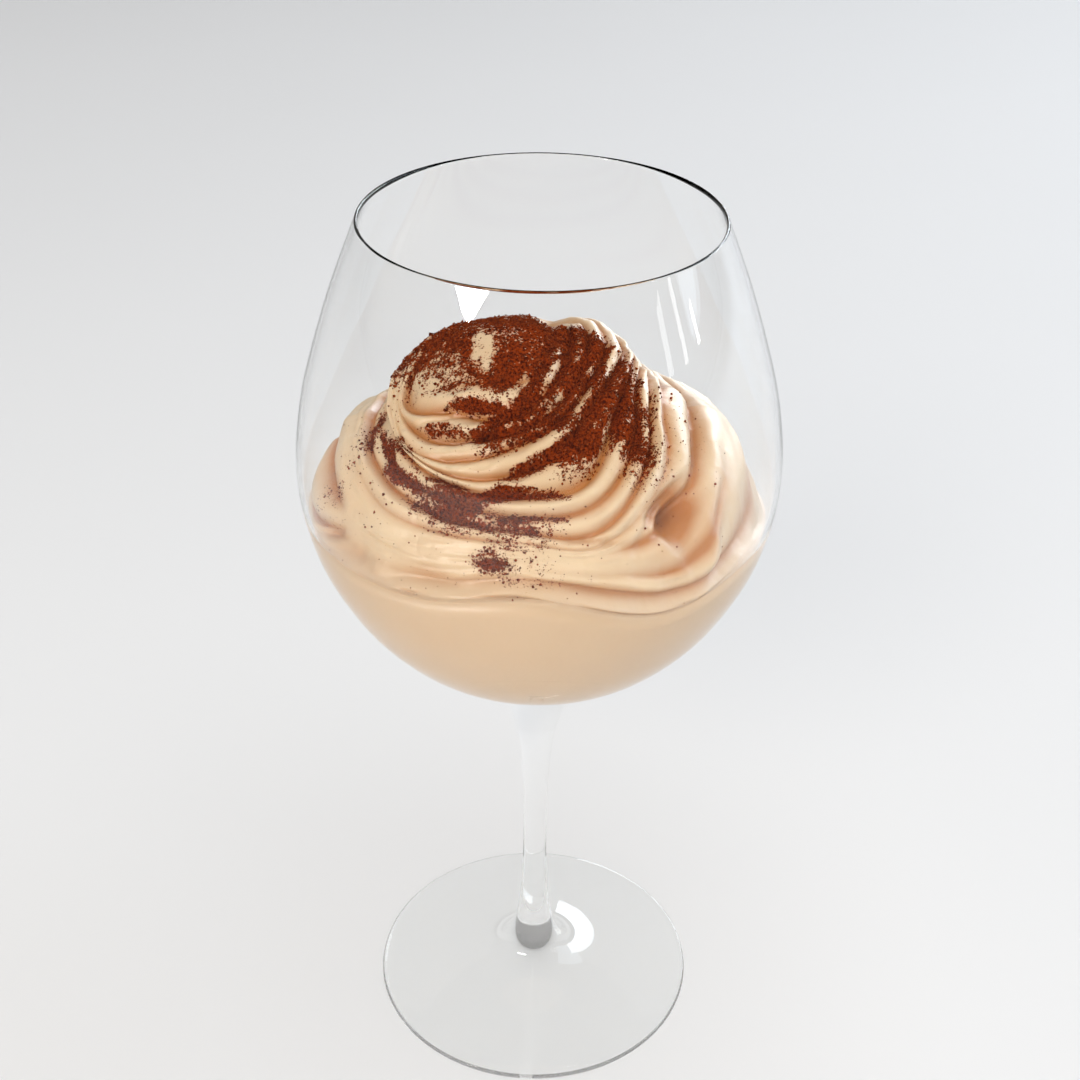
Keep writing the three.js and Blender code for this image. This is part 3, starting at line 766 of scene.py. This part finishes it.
class Graph:
    """The nodes of one material."""

    def __init__(self, name):
        self.material = bpy.data.materials.new(name)
        self.material.use_nodes = True
        self.tree = self.material.node_tree
        self.tree.nodes.clear()

    def node(self, kind, settings=None, inputs=None):
        """A node of this kind: settings first, then the values or links of its sockets."""
        node = self.tree.nodes.new(kind)
        for key, value in (settings or {}).items():
            setattr(node, key, value)
        for key, value in (inputs or {}).items():
            socket = node.inputs[key]
            if isinstance(value, Wire):
                self.tree.links.new(value.socket, socket)
            else:
                socket.default_value = value
        return node

    def add(self, kind, settings=None, inputs=None, output=0):
        """One output of a new node."""
        return Wire(self, self.node(kind, settings, inputs).outputs[output])

    def place(self):
        return self.add("ShaderNodeTexCoord", output="Object")

    def noise(self, place, scale, detail=2.0, roughness=0.5):
        inputs = {"Vector": place, "Scale": scale, "Detail": detail, "Roughness": roughness}
        return self.add("ShaderNodeTexNoise", None, inputs)

    def attribute(self, name):
        return self.add("ShaderNodeAttribute", {"attribute_name": name}, output="Fac")

    def ramp(self, value, start, end):
        """0 below start, 1 above end, smooth between."""
        settings = {"interpolation_type": "SMOOTHSTEP", "clamp": True}
        return self.add("ShaderNodeMapRange", settings, {0: value, 1: start, 2: end})

    def blend(self, factor, first, second):
        """Colour between first and second."""
        colours = {0: factor, 6: first, 7: second}
        return self.add("ShaderNodeMix", {"data_type": "RGBA"}, colours, output=2)

    def finish(self, shader):
        self.node("ShaderNodeOutputMaterial", None, {"Surface": shader})
        return self.material


def colour(red, green, blue):
    """Linear colour from the 0 to 255 values of a screen colour."""
    values = []
    for value in (red, green, blue):
        share = value / 255
        values.append(share / 12.92 if share <= 0.04045 else ((share + 0.055) / 1.055) ** 2.4)
    return (*values, 1.0)


# ------------------------------------------------------------------ materials
SHADOW_TINT = (0.98, 0.985, 0.985, 1.0)
# Painted shade: the brown that darkens the valleys, dimples and cracks.
HOLLOW_SHADE_BROWN = colour(180, 116, 58)
PRESSED_CREAM = colour(205, 176, 145)
FILM_BROWN = colour(176, 98, 44)
TABLE_TONES = ((0.785, 0.80, 0.83, 1.0), (0.815, 0.83, 0.86, 1.0))
# How much of these colours shows where they are strongest.
HOLLOW_SHADE_STRENGTH = 1.3
PRESSED_STRENGTH = 0.8
FILM_STRENGTH = 0.55
# How many cells of each noise lie along a metre.
CELLS = {
    "table": 3.0,
    "patches": 60.0,
    "pits": 260.0,
    "flecks": 600.0,
    "foam": 700.0,
    "grains": 900.0,
    "powder": 1600.0,
    "dots": 1800.0,
}
# Amounts of cocoa from which it shows and at which it is whole: a thin film, the layer of powder,
# and the least dusting that can hold such a layer.
FILM_FROM = (0.30, 0.75)
LAYER_FROM = (0.48, 0.72)
DUSTED_FROM = (0.04, 0.20)
# How much the two finest noises fray the edge of the layer and of the film.
LAYER_DOTS = 2.0
LAYER_FLECKS = 1.6
FILM_FLECKS = 1.5
BUMP_HEIGHT = 0.0004  # metres
FOAM_HEIGHT = 0.35  # share of it that the foam takes
PIT_HEIGHT = 0.5  # and the pits


def clear_glass(settings):
    """Glass that lets the light for matte things straight through."""
    graph = Graph("clear_glass")
    glass = graph.add("ShaderNodeBsdfPrincipled", None, {
        "Base Color": tuple(settings.tint),
        "Roughness": 0.0,
        "IOR": settings.refraction,
        "Transmission Weight": 1.0,
    })
    shadow = graph.add("ShaderNodeLightPath", output="Is Shadow Ray")
    diffuse = graph.add("ShaderNodeLightPath", output="Is Diffuse Ray")
    open_way = graph.add("ShaderNodeBsdfTransparent", None, {"Color": SHADOW_TINT})
    inputs = {0: shadow.larger(diffuse), 1: glass, 2: open_way}
    return graph.finish(graph.add("ShaderNodeMixShader", None, inputs))


def dry_powder(graph, place, cells, dark, light):
    """Matte powder that doesn't shine at all."""
    spots = graph.ramp(graph.noise(place, cells, 3.0, 0.7), 0.38, 0.62)
    return graph.add("ShaderNodeBsdfPrincipled", None, {
        "Base Color": graph.blend(spots, tuple(dark), tuple(light)),
        "Roughness": 1.0,
        "Specular IOR Level": 0.0,
    })


def mousse_cream(settings):
    """Moist, airy cream with painted shade that browns the hollows, with a film and then a layer of
    cocoa on it.
    """
    graph = Graph("mousse_cream")
    place = graph.place()
    patches = graph.ramp(graph.noise(place, CELLS["patches"], 3.0), 0.3, 0.7)
    plain = graph.blend(patches, tuple(settings.cream_dark), tuple(settings.cream_light))
    # Painted shade: the cream turns brown deep in valleys, dimples and cracks.
    hollow = graph.attribute("hollow") * HOLLOW_SHADE_STRENGTH
    pressed = graph.attribute("pressed") * PRESSED_STRENGTH
    cream = graph.blend(hollow.clamped(), plain, HOLLOW_SHADE_BROWN)
    cream = graph.blend(pressed, cream, PRESSED_CREAM)
    dusting = graph.attribute("cocoa")
    dots = graph.noise(place, CELLS["dots"], 2.0, 0.6) - 0.5
    flecks = graph.noise(place, CELLS["flecks"], 3.0, 0.6) - 0.5
    frayed = dusting + dots * LAYER_DOTS + flecks * LAYER_FLECKS
    film = graph.ramp(dusting + flecks * FILM_FLECKS, *FILM_FROM)
    cover = graph.ramp(frayed, *LAYER_FROM) * graph.ramp(dusting, *DUSTED_FROM)
    foam = graph.noise(place, CELLS["foam"], 4.0, 0.6) * FOAM_HEIGHT
    pits = graph.noise(place, CELLS["pits"], 3.0, 0.5) * PIT_HEIGHT
    bumps = graph.add("ShaderNodeBump", None, {
        "Strength": 0.6,
        "Distance": BUMP_HEIGHT,
        "Height": foam + pits + cover * (dots + 0.5),
    })
    bare = graph.add("ShaderNodeBsdfPrincipled", None, {
        "Base Color": graph.blend(film * FILM_STRENGTH, cream, FILM_BROWN),
        "Roughness": 0.45,
        "IOR": 1.4,
        "Coat Weight": 0.6,
        "Coat Roughness": 0.42,
        "Subsurface Weight": 0.12,
        "Subsurface Radius": (1.0, 0.6, 0.35),
        "Subsurface Scale": 0.001,
        "Normal": bumps,
    })
    powder = dry_powder(graph, place, CELLS["powder"], settings.powder_dark, settings.powder_light)
    return graph.finish(graph.add("ShaderNodeMixShader", None, {0: cover, 1: bare, 2: powder}))


def cocoa_brown(settings):
    graph = Graph("cocoa_brown")
    powder = dry_powder(graph, graph.place(), CELLS["grains"], settings.dark, settings.light)
    return graph.finish(powder)


def table_white():
    graph = Graph("table_white")
    tone = graph.noise(graph.place(), CELLS["table"], 2.0)
    top = graph.add("ShaderNodeBsdfPrincipled", None, {
        "Base Color": graph.blend(tone, *TABLE_TONES),
        "Roughness": 0.8,
        "Specular IOR Level": 0.1,
    })
    return graph.finish(top)


def pane_white():
    graph = Graph("pane_white")
    return graph.finish(graph.add("ShaderNodeEmission", None, {"Strength": PANE["strength"]}))


# ------------------------------------------------------------------ stage
def place_camera():
    pitch, yaw, roll = (math.radians(a) for a in (CAMERA_PITCH, CAMERA_YAW, CAMERA_ROLL))
    ahead = Vector((
        math.sin(yaw) * math.cos(pitch),
        math.cos(yaw) * math.cos(pitch),
        -math.sin(pitch),
    ))
    level = Vector((math.cos(yaw), -math.sin(yaw), 0.0))
    above = level.cross(ahead)
    right = math.cos(roll) * level + math.sin(roll) * above
    up = -math.sin(roll) * level + math.cos(roll) * above
    lens = bpy.data.cameras.new("camera")
    lens.lens = CAMERA_LENS
    lens.sensor_width = CAMERA_SENSOR
    camera = bpy.data.objects.new("camera", lens)
    turn = Matrix((right, up, -ahead)).transposed().to_4x4()
    camera.matrix_world = Matrix.Translation(CAMERA_PLACE) @ turn
    bpy.context.scene.collection.objects.link(camera)
    bpy.context.scene.camera = camera


def looking_at(place, aim):
    """Placement at the place whose -Z axis points to the aim."""
    ahead = Vector(aim) - Vector(place)
    facing = ahead.to_track_quat("-Z", "Y").to_matrix().to_4x4()
    return Matrix.Translation(place) @ facing


def place_light(name, place, aim, size, power, tint, unseen):
    lamp = bpy.data.lights.new(name, "AREA")
    lamp.shape = "RECTANGLE"
    lamp.size, lamp.size_y = size
    lamp.energy = power
    lamp.color = tint
    light = bpy.data.objects.new(name, lamp)
    light.matrix_world = looking_at(place, aim)
    for ray in unseen:
        setattr(light, f"visible_{ray}", False)
    bpy.context.scene.collection.objects.link(light)


def window_pane():
    """Bright pane that only the outside of the glass mirrors."""
    turn = Matrix.Rotation(math.radians(PANE["turn"]), 4, "Z")
    turned = looking_at(PANE["place"], PANE["mirrored_at"]) @ turn
    points = [(turned @ Vector((u, v, 0.0))) / MM for u, v in PANE["corners"]]
    pane = mesh_object("window_pane", points, [tuple(range(len(points)))], smooth=False)
    pane.data.materials.append(pane_white())
    for ray in ("camera", "diffuse", "transmission", "shadow"):
        setattr(pane, f"visible_{ray}", False)


def light_room():
    world = bpy.data.worlds.new("soft_room")
    world.use_nodes = True
    background = world.node_tree.nodes["Background"]
    background.inputs["Color"].default_value = ROOM_TINT
    background.inputs["Strength"].default_value = ROOM_STRENGTH
    bpy.context.scene.world = world
    world.cycles_visibility.glossy = False
    bpy.context.scene.view_settings.view_transform = "Standard"


def build_stage():
    side = TABLE_HALF / MM
    corners = [(-side, -side, 0), (side, -side, 0), (side, side, 0), (-side, side, 0)]
    floor = mesh_object("table_top", corners, [(0, 1, 2, 3)])
    floor.data.materials.append(table_white())
    place_camera()
    light_room()
    for name, (place, size, power, tint, unseen) in LIGHTS.items():
        place_light(name, place, BOWL_MIDDLE, size, power, tint, unseen)
    window_pane()
    unseen = ("diffuse", "transmission")
    for number, (place, size) in enumerate(SIDE_PANES):
        aim = SIDE_PANE_MIRRORED_AT
        place_light(f"strip_{number}", place, aim, size, SIDE_PANE_WATTS, (1.0, 1.0, 1.0), unseen)


# ------------------------------------------------------------------ add-on
AS_COLOUR = {"subtype": "COLOR", "size": 4, "min": 0.0, "max": 1.0}


class GlassSettings(bpy.types.PropertyGroup):
    """Fineness and colour of the glass"""

    columns: bpy.props.IntProperty(
        name="Columns", description="Faces round the glass", default=160, min=24)
    tint: bpy.props.FloatVectorProperty(
        name="Tint", description="Colour of the glass",
        default=(0.995, 0.998, 0.996, 1.0), **AS_COLOUR)
    refraction: bpy.props.FloatProperty(
        name="Refraction", description="Index of refraction, which also sets how much it mirrors",
        default=1.36, min=1.0, max=2.0)


class MousseSettings(bpy.types.PropertyGroup):
    """Fineness, relief and colours of the mousse and the layer of cocoa on it"""

    columns: bpy.props.IntProperty(
        name="Columns", description="Faces round the swirl", default=600, min=24)
    steps: bpy.props.IntProperty(
        name="Rows a ridge", description="Rows of faces from one valley to the next",
        default=11, min=3)
    side_rows: bpy.props.IntProperty(
        name="Side rows", description="Rows of faces down the inside of the glass",
        default=18, min=4)
    relief: bpy.props.FloatProperty(
        name="Fine relief", description="Strength of the streaks and lumps on the ridges",
        default=1.0, min=0.0, max=3.0, subtype="FACTOR")
    cream_dark: bpy.props.FloatVectorProperty(
        name="Dark cream", description="Darker patches of the mousse",
        default=colour(217, 187, 151), **AS_COLOUR)
    cream_light: bpy.props.FloatVectorProperty(
        name="Light cream", description="Lighter patches of the mousse",
        default=colour(225, 199, 165), **AS_COLOUR)
    powder_dark: bpy.props.FloatVectorProperty(
        name="Dark powder", description="Darker spots of the layer of cocoa",
        default=colour(58, 14, 1), **AS_COLOUR)
    powder_light: bpy.props.FloatVectorProperty(
        name="Light powder", description="Lighter spots of the layer of cocoa",
        default=colour(138, 52, 11), **AS_COLOUR)


class GrainSettings(bpy.types.PropertyGroup):
    """Number, size and colours of the loose grains"""

    count: bpy.props.IntProperty(
        name="Grains", description="How many loose grains of cocoa", default=18000, min=1)
    columns: bpy.props.IntProperty(
        name="Columns", description="Places round the swirl that a grain can lie in",
        default=360, min=24)
    steps: bpy.props.IntProperty(
        name="Rows a ridge", description="Places from one valley to the next", default=9, min=3)
    width: bpy.props.FloatProperty(
        name="Width", description="Width of the finest grains", default=0.00014, min=0.00002,
        precision=5, unit="LENGTH")
    dark: bpy.props.FloatVectorProperty(
        name="Dark grains", description="Darker spots of the grains",
        default=colour(84, 28, 6), **AS_COLOUR)
    light: bpy.props.FloatVectorProperty(
        name="Light grains", description="Lighter spots of the grains",
        default=colour(140, 62, 24), **AS_COLOUR)


class MOUSSE_OT_glass(bpy.types.Operator):
    """Turn the wine glass from its outline"""

    bl_idname = "mousse.glass"
    bl_label = "Glass"

    def execute(self, context):
        settings = context.scene.mousse_glass
        wear(build_glass(settings), clear_glass(settings), "clear_glass", "wine_glass")
        return {"FINISHED"}


class MOUSSE_OT_swirl(bpy.types.Operator):
    """Pipe the mousse into the glass"""

    bl_idname = "mousse.swirl"
    bl_label = "Mousse"

    def execute(self, context):
        settings = context.scene.mousse_swirl
        wear(build_mousse(settings), mousse_cream(settings), "chocolate_mousse", "mousse")
        return {"FINISHED"}


class MOUSSE_OT_grains(bpy.types.Operator):
    """Sift the cocoa grains over the swirl"""

    bl_idname = "mousse.grains"
    bl_label = "Cocoa grains"

    def execute(self, context):
        settings = context.scene.mousse_grains
        relief = context.scene.mousse_swirl.relief
        wear(build_grains(settings, relief), cocoa_brown(settings), "cocoa_powder")
        return {"FINISHED"}


class MOUSSE_OT_stage(bpy.types.Operator):
    """Set the table top, the light and the camera"""

    bl_idname = "mousse.stage"
    bl_label = "Stage"

    def execute(self, context):
        build_stage()
        return {"FINISHED"}


class MOUSSE_PT_panel(bpy.types.Panel):
    """Sizes, colours and a button for each piece"""

    bl_idname = "MOUSSE_PT_panel"
    bl_label = "Mousse in a glass"
    bl_space_type = "VIEW_3D"
    bl_region_type = "UI"
    bl_category = "Mousse"

    def draw(self, context):
        for name, group in SETTINGS.items():
            for field in group.__annotations__:
                self.layout.prop(getattr(context.scene, name), field)
        for operator in OPERATORS:
            self.layout.operator(operator.bl_idname)


SETTINGS = {
    "mousse_glass": GlassSettings,
    "mousse_swirl": MousseSettings,
    "mousse_grains": GrainSettings,
}
OPERATORS = [MOUSSE_OT_glass, MOUSSE_OT_swirl, MOUSSE_OT_grains, MOUSSE_OT_stage]
CLASSES = [*SETTINGS.values(), *OPERATORS, MOUSSE_PT_panel]


def register():
    for entry in CLASSES:
        bpy.utils.register_class(entry)
    for name, group in SETTINGS.items():
        setattr(bpy.types.Scene, name, bpy.props.PointerProperty(type=group))


def unregister():
    for name in SETTINGS:
        delattr(bpy.types.Scene, name)
    for entry in reversed(CLASSES):
        bpy.utils.unregister_class(entry)


def main():
    register()
    bpy.ops.mousse.glass()
    bpy.ops.mousse.swirl()
    bpy.ops.mousse.grains()
    bpy.ops.mousse.stage()


if __name__ == "__main__":
    main()
